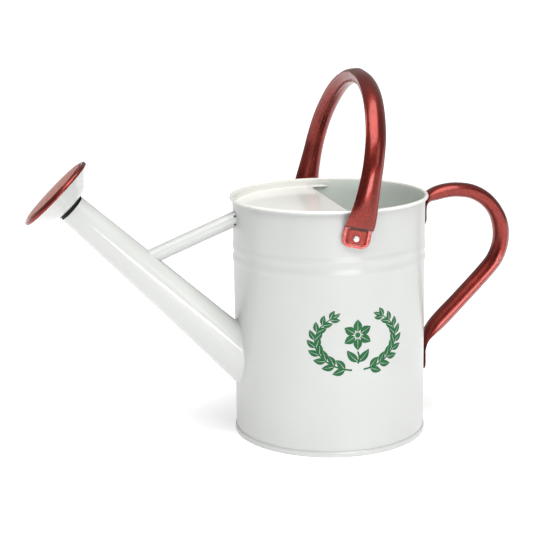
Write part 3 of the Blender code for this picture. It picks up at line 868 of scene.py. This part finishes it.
def rolled_strip(name, samples, place_point):
    """Lofts the strip along samples (a, b, half_width, half_depth, press, lift) of a plane path.

    place_point(a, b, across) turns a point of the path's plane into world coordinates. The
    outside of the path's bend is on its left.
    """
    travel = [0.0]
    for here, following in zip(samples, samples[1:]):
        travel.append(travel[-1] + math.hypot(following[0] - here[0], following[1] - here[1]))
    shape = bmesh.new()
    rings = []
    for i, sample in enumerate(samples):
        ahead = samples[min(i + 1, len(samples) - 1)]
        behind = samples[max(i - 1, 0)]
        tangent = Vector((ahead[0] - behind[0], ahead[1] - behind[1])).normalized()
        outwards = Vector((-tangent.y, tangent.x))
        tip_distance = min(travel[i], travel[-1] - travel[i])
        ring = []
        for across, out in ring_points(sample, tip_distance):
            point = Vector((sample[0], sample[1])) + outwards * out
            ring.append(shape.verts.new(place_point(point.x, point.y, across)))
        rings.append(ring)
    for ring, following in zip(rings, rings[1:]):
        for k in range(len(ring)):
            after = (k + 1) % len(ring)
            shape.faces.new((ring[k], ring[after], following[after], following[k]))
    shape.faces.new(rings[0][::-1])
    shape.faces.new(rings[-1])
    bmesh.ops.recalc_face_normals(shape, faces=shape.faces)
    # Besides the red lacquer, the strip carries a painted highlight on its ears' raised borders and
    # painted shade on the band under the bail's fold.
    return link(name, mesh_from(shape, name), RED, RED_PAINTED_HIGHLIGHT, RED_PAINTED_FOLD_SHADE)


def pierce_ears(handle, matrices):
    """Cuts each ear's rivet hole and the wider dimple round the rivet's head."""
    start, end = RIVET_PATH
    tools = []
    for matrix in matrices:
        tools.append(rod(matrix, RIVET_HOLE_R, RIVET_HOLE_R, start, EAR_OFFSET + OVERLAP,
                         HOLE_STEPS))
        tools.append(rod(matrix, *DIMPLE_RS, EAR_OFFSET, end, 32))
    combine(handle, tools)
    smooth(handle.data, STRIP_SHARP_DEGREES)


def on_painted_highlight_border(across, outwards, tip_distance):
    """Whether a point of an ear lies on the raised border, which gets a painted highlight."""
    raised = outwards > EAR_OFFSET + EAR_HALF_DEPTH * BRIGHT_RISE
    return raised and (abs(across) > EAR_HALF_WIDTH * BRIGHT_SIDE or tip_distance < BRIGHT_TIP)


def bail_samples():
    """Half of the arch, from the tip of an ear to the top."""
    stations = [(EAR_OFFSET, height, half_width, EAR_HALF_DEPTH, 1.0, 0.0)
                for height, half_width in BAIL_EAR]
    stations += [(y, height, half_width, half_depth, 0.0, lift)
                 for y, height, half_width, half_depth, lift in BAIL_LEG]
    stations += [(y, height, *ROLL, 0.0, 0.0) for y, height in BAIL_ARCH]
    return spline(stations, BAIL_SPAN_STEPS)


def make_bail():
    """The arch over the tank, leaning as in the photo, with an ear on each rivet."""
    pivot = Matrix.Translation(BAIL_PIVOT) @ Matrix.Rotation(BAIL_LEAN, 4, "Y")
    half = bail_samples()
    mirrored = [Vector((-s[0], *s[1:])) for s in half[:-1]]
    bail = rolled_strip("bail_handle_fine", mirrored + half[::-1],
                        lambda a, b, across: pivot @ Vector((across, a, b)))
    pierce_ears(bail, [matrix for _, matrix in rivet_frames()[:2]])
    level = pivot.inverted()

    def bright(centre):
        local = level @ centre
        on_edge = on_painted_highlight_border(local.x, abs(local.y), local.z - BAIL_TIP)
        return local.z < BAIL_PRESSED_TO and on_edge

    def folded(centre):
        local = level @ centre
        middle = abs(local.x) < EAR_HALF_WIDTH * BRIGHT_SIDE
        fold_from = BAIL_FOLD[0] if middle else BAIL_FOLD_SIDES
        return fold_from < local.z < BAIL_FOLD[1] and abs(local.y) > EAR_OFFSET

    # The ear's raised border gets the painted highlight.
    paint_faces(bail.data, 1, bright)
    # The band under the fold gets the painted shade.
    paint_faces(bail.data, 2, folded)
    place(bail, "bail", "red_lacquer", "bail_handle")


def handle_samples():
    """The rear handle from the tip of its upper ear to the tip of its lower one."""
    ear = (EAR_HALF_WIDTH, EAR_HALF_DEPTH)
    tips = [(EAR_OFFSET, z, HANDLE_TIP_HALF, EAR_HALF_DEPTH, 1.0, 0.0) for z in HANDLE_TIPS]
    bend = arc(HANDLE_BEND_CENTRE, HANDLE_BEND_R, math.pi / 2, HANDLE_BEND_END, HANDLE_BEND_POINTS)
    stations = [tips[0]]
    stations += [(EAR_OFFSET, z, *ear, 1.0, 0.0) for z in HANDLE_UPPER_EAR]
    stations += [(*station, 0.0, 0.0) for station in HANDLE_UPPER_NECK]
    stations += [(x, z, *ROLL, 0.0, 0.0) for x, z in bend[:HANDLE_ROLL_POINTS]]
    stations += [(x, z, *RUN, 0.0, 0.0) for x, z in bend[HANDLE_ROLL_POINTS:]]
    stations += [(*station, 0.0, 0.0) for station in HANDLE_LOWER_NECK]
    stations += [(EAR_OFFSET, z, *ear, 1.0, 0.0) for z in HANDLE_LOWER_EAR]
    stations.append(tips[1])
    return spline(stations, HANDLE_SPAN_STEPS)


def make_handle():
    """The grip behind the tank: out from its upper ear, round a bend and down to its lower ear."""
    handle = rolled_strip("rear_handle_fine", handle_samples(),
                          lambda a, b, across: Vector((a, across, b)))
    pierce_ears(handle, [matrix for _, matrix in rivet_frames()[2:]])

    def bright(centre):
        tip_distance = min(abs(centre.z - tip) for tip in HANDLE_TIPS)
        against_wall = centre.x < HANDLE_PRESSED_X and tip_distance < HANDLE_PRESSED_TO
        return against_wall and on_painted_highlight_border(centre.y, centre.x, tip_distance)

    # The ears' raised borders get the painted highlight.
    paint_faces(handle.data, 1, bright)
    place(handle, "can", "red_lacquer", "rear_handle")


# -------- rivets

# Places along a rivet's frame are distances from the tank's axis.
SHANK_R = 0.0016
HEAD_R = 0.0030
HEAD_END = math.radians(34)
HEAD_CENTRE = 0.0818
HEAD_SEAT = 0.0826
HEAD_SEAT_R = 0.0025
TAIL_R = 0.0032
TAIL_START = math.radians(-22)
TAIL_CENTRE = 0.0788
TAIL_SEAT = 0.0777
TAIL_SEAT_R = 0.0030
WASHER_R = 0.0045
WASHER_BEVEL = 0.0002
WASHER_FACES = (0.0780, 0.0788)


def make_rivet(name, matrix):
    """A domed head on the ear, a shank through the wall and a flatter tail inside."""
    outline = arc((0.0, HEAD_CENTRE), HEAD_R, math.pi / 2, HEAD_END, 9)
    outline += [(HEAD_SEAT_R, HEAD_SEAT), (SHANK_R, HEAD_SEAT), (SHANK_R, TAIL_SEAT),
                (TAIL_SEAT_R, TAIL_SEAT)]
    outline += arc((0.0, TAIL_CENTRE), TAIL_R, TAIL_START, -math.pi / 2, 8)[1:]
    rivet = turned(f"{name}_rivet_fine", outline, RIVET, matrix=matrix, steps=SMALL_STEPS,
                   closed=False)
    place(rivet, "can", "rivet_metal", f"{name}_rivet")


def make_washer(name, matrix):
    """A flat ring against the wall's inside, bevelled on both edges."""
    inner, outer = WASHER_FACES
    outline = [(WASHER_R, outer - WASHER_BEVEL), (WASHER_R, inner + WASHER_BEVEL),
               (WASHER_R - WASHER_BEVEL, inner), (RIVET_HOLE_R, inner), (RIVET_HOLE_R, outer),
               (WASHER_R - WASHER_BEVEL, outer)]
    washer = turned(f"{name}_washer_fine", outline, PLATED, matrix=matrix, steps=SMALL_STEPS)
    place(washer, "can", "plated_steel", f"{name}_washer")


def make_rivets():
    for name, matrix in rivet_frames():
        make_rivet(name, matrix)
        make_washer(name, matrix)


# -------- printed garland

# A point of the print is (s, t) from the garland's middle: s along the wall, and t up.
PRINT_ANGLE = math.radians(1.5)
PRINT_Z = 0.0965
PRINT_RAISE = 0.00008
PRINT_THICK = 0.00005
WREATH_A = 0.0345
WREATH_B = 0.0240
BRANCH_STEPS = 40
BRANCH_FROM = math.radians(8)
BRANCH_TURN = math.radians(136)
BRANCH_WIDTHS = (0.0015, 0.0008)
LEAF_STATIONS = 9
LEAF_PAIRS = 9
LEAVES_FROM = math.radians(18)
LEAVES_TURN = math.radians(122)
LEAF_LEAN = 0.75
LEAF_BEND = 0.35
LEAF_LENGTH = 0.0108
LEAF_HALF_WIDTH = 0.0029
LEAF_TAPER = 0.25
TIP_LENGTH = 0.0075
TIP_HALF_WIDTH = 0.0015
TIP_BEND = 0.3
VEIN_HALF = 0.00022
VEIN_END = 0.00003
LEAF_LEAST = 0.00005
BERRY_SHARES = (0.22, 0.48, 0.74)
BERRY_AHEAD = math.radians(7)
BERRY_OUT = (1.12, 1.14)
BERRY_R = 0.00095
DOT_STEPS = 16
PETALS = 6
PETAL_ROOT = 0.0026
PETAL_LENGTH = 0.0100
PETAL_HALF_WIDTH = 0.0036
FLOWER_T = 0.0050
FLOWER_HUB_R = 0.0022
STEM_STEPS = 10
STEM_TOP_T = -0.0086
STEM_LENGTH = 0.0100
STEM_SWAY = 0.0012
STEM_WIDTHS = (0.0013, 0.0017)
STEM_LEAF_ROOT = (0.0003, -0.0170)
STEM_LEAF_LENGTH = 0.0135
STEM_LEAF_HALF_WIDTH = 0.0032


def wrap(s, t):
    """The place on the tank of a point of the print."""
    angle = PRINT_ANGLE + s / TANK_R
    radius = TANK_R + PRINT_RAISE
    return Vector((radius * math.sin(angle), -radius * math.cos(angle), PRINT_Z + t))


def ribbon(shape, lefts, rights):
    """A strip of faces between two lines of (s, t) points."""
    left = [shape.verts.new(wrap(*p)) for p in lefts]
    right = [shape.verts.new(wrap(*p)) for p in rights]
    for i in range(len(left) - 1):
        shape.faces.new((left[i], right[i], right[i + 1], left[i + 1]))


def stroke(shape, points, width_start, width_end):
    """A tapering line through (s, t) points."""
    lefts = []
    rights = []
    for i, point in enumerate(points):
        ahead = Vector(points[min(i + 1, len(points) - 1)])
        behind = Vector(points[max(i - 1, 0)])
        tangent = (ahead - behind).normalized()
        normal = Vector((-tangent.y, tangent.x))
        half = (width_start + (width_end - width_start) * i / (len(points) - 1)) / 2
        lefts.append(tuple(Vector(point) + normal * half))
        rights.append(tuple(Vector(point) - normal * half))
    ribbon(shape, lefts, rights)


def leaf(shape, root, heading, length, half_width, bend):
    """A leaf in two halves, with its vein left bare between them."""
    middles = []
    point = Vector(root)
    for i in range(LEAF_STATIONS + 1):
        angle = heading + bend * i / LEAF_STATIONS
        middles.append((point, angle))
        point = point + Vector((math.cos(angle), math.sin(angle))) * length / LEAF_STATIONS
    for side in (-1, 1):
        inner = []
        outer = []
        for i, (middle, angle) in enumerate(middles):
            t = i / LEAF_STATIONS
            normal = Vector((-math.sin(angle), math.cos(angle))) * side
            gap = VEIN_HALF * (1 - t) + VEIN_END
            reach = max(half_width * math.sin(math.pi * t ** 0.85) ** 0.9, gap + LEAF_LEAST)
            inner.append(tuple(middle + normal * gap))
            outer.append(tuple(middle + normal * reach))
        ribbon(shape, outer, inner)


def dot(shape, centre, radius):
    """A filled disc: a ring of faces round a centre point."""
    hub = shape.verts.new(wrap(*centre))
    rim = []
    for i in range(DOT_STEPS):
        angle = 2 * math.pi * i / DOT_STEPS
        rim.append(shape.verts.new(wrap(centre[0] + radius * math.cos(angle),
                                        centre[1] + radius * math.sin(angle))))
    for i in range(DOT_STEPS):
        shape.faces.new((hub, rim[i], rim[(i + 1) % DOT_STEPS]))


def branch_point(turn):
    """A point of the right-hand branch, by its turn round the garland from the bottom."""
    return (WREATH_A * math.sin(turn), -WREATH_B * math.cos(turn))


def branch_heading(turn):
    """The direction in which the right-hand branch grows at that turn."""
    here = branch_point(turn)
    ahead = branch_point(turn + 0.02)
    return math.atan2(ahead[1] - here[1], ahead[0] - here[0])


def on_side(side, heading):
    """A heading of the right-hand branch, mirrored for the left-hand one."""
    return heading if side > 0 else math.pi - heading


def draw_branch(shape, side):
    """One half of the garland, from its foot at the bottom up to its tip."""
    path = []
    for i in range(BRANCH_STEPS + 1):
        s, t = branch_point(BRANCH_FROM + BRANCH_TURN * i / BRANCH_STEPS)
        path.append((side * s, t))
    stroke(shape, path, *BRANCH_WIDTHS)
    for i in range(LEAF_PAIRS):
        share = i / (LEAF_PAIRS - 1)
        turn = LEAVES_FROM + LEAVES_TURN * share
        s, t = branch_point(turn)
        size = 1.0 - LEAF_TAPER * share
        for hand in (-1, 1):
            heading = on_side(side, branch_heading(turn) + hand * LEAF_LEAN)
            leaf(shape, (side * s, t), heading, LEAF_LENGTH * size, LEAF_HALF_WIDTH * size,
                 -LEAF_BEND * hand * side)
    heading = on_side(side, branch_heading(BRANCH_FROM + BRANCH_TURN))
    leaf(shape, path[-1], heading, TIP_LENGTH, TIP_HALF_WIDTH, TIP_BEND)
    for share in BERRY_SHARES:
        s, t = branch_point(LEAVES_FROM + LEAVES_TURN * share + BERRY_AHEAD)
        dot(shape, (side * s * BERRY_OUT[0], t * BERRY_OUT[1]), BERRY_R)


def draw_flower(shape):
    """A six-petalled flower over a stem with two leaves."""
    for i in range(PETALS):
        angle = math.pi / 2 + 2 * math.pi * i / PETALS
        root = (PETAL_ROOT * math.cos(angle), FLOWER_T + PETAL_ROOT * math.sin(angle))
        leaf(shape, root, angle, PETAL_LENGTH, PETAL_HALF_WIDTH, 0.0)
    dot(shape, (0.0, FLOWER_T), FLOWER_HUB_R)
    stem = []
    for i in range(STEM_STEPS + 1):
        share = i / STEM_STEPS
        stem.append((STEM_SWAY * math.sin(3 * share), STEM_TOP_T - STEM_LENGTH * share))
    stroke(shape, stem, *STEM_WIDTHS)
    for heading, bend in ((math.radians(35), 0.5), (math.radians(145), -0.5)):
        leaf(shape, STEM_LEAF_ROOT, heading, STEM_LEAF_LENGTH, STEM_LEAF_HALF_WIDTH, bend)


def make_print():
    """The garland as a thin layer of ink that follows the wall."""
    shape = bmesh.new()
    for side in (-1, 1):
        draw_branch(shape, side)
    draw_flower(shape)
    bmesh.ops.recalc_face_normals(shape, faces=shape.faces)
    garland = link("front_print", mesh_from(shape, "front_print"), INK)
    layer = garland.modifiers.new("Ink", "SOLIDIFY")
    layer.thickness = PRINT_THICK
    layer.offset = -1.0
    combine(garland, [])
    place(garland, "can", "green_print")


# -------- studio

FLOOR_R = 14.0
FLOOR_Z = -0.0002
FLOOR_WHITE = (0.93, 0.93, 0.93, 1.0)
LIGHT_WHITE = (1.0, 1.0, 1.0, 1.0)
# The floor's glow round the foot, a little way out and far away, with the distances between
# which it changes, and its share and Y on the camera's side.
FOOT_GLOW = 0.36
FLOOR_GLOW = 0.58
FAR_GLOW = 1.02
FOOT_RS = (0.11, 0.26)
FAR_RS = (0.4, 2.5)
FRONT_GLOW = 0.30
FRONT_YS = (-0.60, -0.20)
WORLD_FRONT = 0.10
WORLD_BACK = 0.36
WORLD_TURN = 0.7

# Each softbox's name, place, target, width and height in metres, and power in watts.
SOFTBOXES = (
    ("overhead_softbox", (-0.05, -0.50, 1.30), (-0.05, -0.30, 0.0), (1.3, 1.2), 21.0),
    ("right_softbox", (0.95, -1.10, 0.75), (0.0, 0.0, 0.12), (0.6, 0.6), 1.8),
    ("front_softbox", (0.18, -1.55, 0.24), (0.0, 0.0, 0.15), (0.85, 0.24), 6.2),
)

CAMERA_PLACE = (-0.2904, -1.0839, 0.3974)
CAMERA_PAN = math.radians(-12.32)
CAMERA_TILT = math.radians(77.09)
CAMERA_ROLL = math.radians(-0.85)
CAMERA_LENS = 92.34
SENSOR_WIDTH = 36.0


def arithmetic(tree, operation, first, second):
    node = tree.nodes.new("ShaderNodeMath")
    node.operation = operation
    tree.links.new(first, node.inputs[0])
    tree.links.new(second, node.inputs[1])
    return node.outputs[0]


def floor_glow(tree):
    """How strongly the floor glows: less round the object's foot and on the camera's side."""
    where = tree.nodes.new("ShaderNodeTexCoord")
    distance = tree.nodes.new("ShaderNodeVectorMath")
    distance.operation = "LENGTH"
    tree.links.new(where.outputs["Object"], distance.inputs[0])
    split = tree.nodes.new("ShaderNodeSeparateXYZ")
    tree.links.new(where.outputs["Object"], split.inputs[0])
    near = ranged(tree, distance.outputs["Value"], FOOT_GLOW, FLOOR_GLOW, *FOOT_RS)
    far = ranged(tree, distance.outputs["Value"], 0.0, FAR_GLOW - FLOOR_GLOW, *FAR_RS)
    behind = ranged(tree, split.outputs["Y"], FRONT_GLOW, 1.0, *FRONT_YS)
    return arithmetic(tree, "MULTIPLY", arithmetic(tree, "ADD", near, far), behind)


def make_floor():
    """A plain white sweep, matt and faintly glowing."""
    material = bpy.data.materials.new("floor_white")
    material.use_nodes = True
    tree = material.node_tree
    shader = tree.nodes["Principled BSDF"]
    shader.inputs["Base Color"].default_value = FLOOR_WHITE
    shader.inputs["Roughness"].default_value = 0.75
    shader.inputs["Emission Color"].default_value = LIGHT_WHITE
    tree.links.new(floor_glow(tree), shader.inputs["Emission Strength"])
    shape = bmesh.new()
    bmesh.ops.create_circle(shape, cap_ends=True, segments=128, radius=FLOOR_R)
    floor = link("floor", mesh_from(shape, "floor", Matrix.Translation((0.0, 0.0, FLOOR_Z))),
                 material)


def make_world():
    """Soft light all round, fainter from the camera's side than from behind the object."""
    world = bpy.data.worlds.new("studio")
    bpy.context.scene.world = world
    world.use_nodes = True
    tree = world.node_tree
    background = tree.nodes["Background"]
    background.inputs["Color"].default_value = LIGHT_WHITE
    where = tree.nodes.new("ShaderNodeTexCoord")
    split = tree.nodes.new("ShaderNodeSeparateXYZ")
    tree.links.new(where.outputs["Generated"], split.inputs[0])
    strength = ranged(tree, split.outputs["Y"], WORLD_FRONT, WORLD_BACK, -WORLD_TURN, WORLD_TURN)
    tree.links.new(strength, background.inputs["Strength"])


def add_softbox(name, location, target, size, power):
    light = bpy.data.lights.new(name, "AREA")
    light.shape = "RECTANGLE"
    light.size, light.size_y = size
    light.energy = power
    lamp = bpy.data.objects.new(name, light)
    direction = Vector(target) - Vector(location)
    lamp.matrix_world = (Matrix.Translation(location)
                         @ direction.to_track_quat("-Z", "Y").to_matrix().to_4x4())
    bpy.context.scene.collection.objects.link(lamp)


def make_camera():
    data = bpy.data.cameras.new("camera")
    data.lens = CAMERA_LENS
    data.sensor_width = SENSOR_WIDTH
    camera = bpy.data.objects.new("camera", data)
    turn = (Matrix.Rotation(CAMERA_PAN, 4, "Z") @ Matrix.Rotation(CAMERA_TILT, 4, "X")
            @ Matrix.Rotation(CAMERA_ROLL, 4, "Z"))
    camera.matrix_world = Matrix.Translation(CAMERA_PLACE) @ turn
    bpy.context.scene.collection.objects.link(camera)
    bpy.context.scene.camera = camera


def main():
    make_tank()
    make_base()
    make_cover()
    make_spout()
    make_weld()
    make_brace()
    make_rose()
    make_bail()
    make_handle()
    make_rivets()
    make_print()
    make_floor()
    make_world()
    for softbox in SOFTBOXES:
        add_softbox(*softbox)
    make_camera()
    bpy.context.scene.view_settings.view_transform = "Standard"


main()
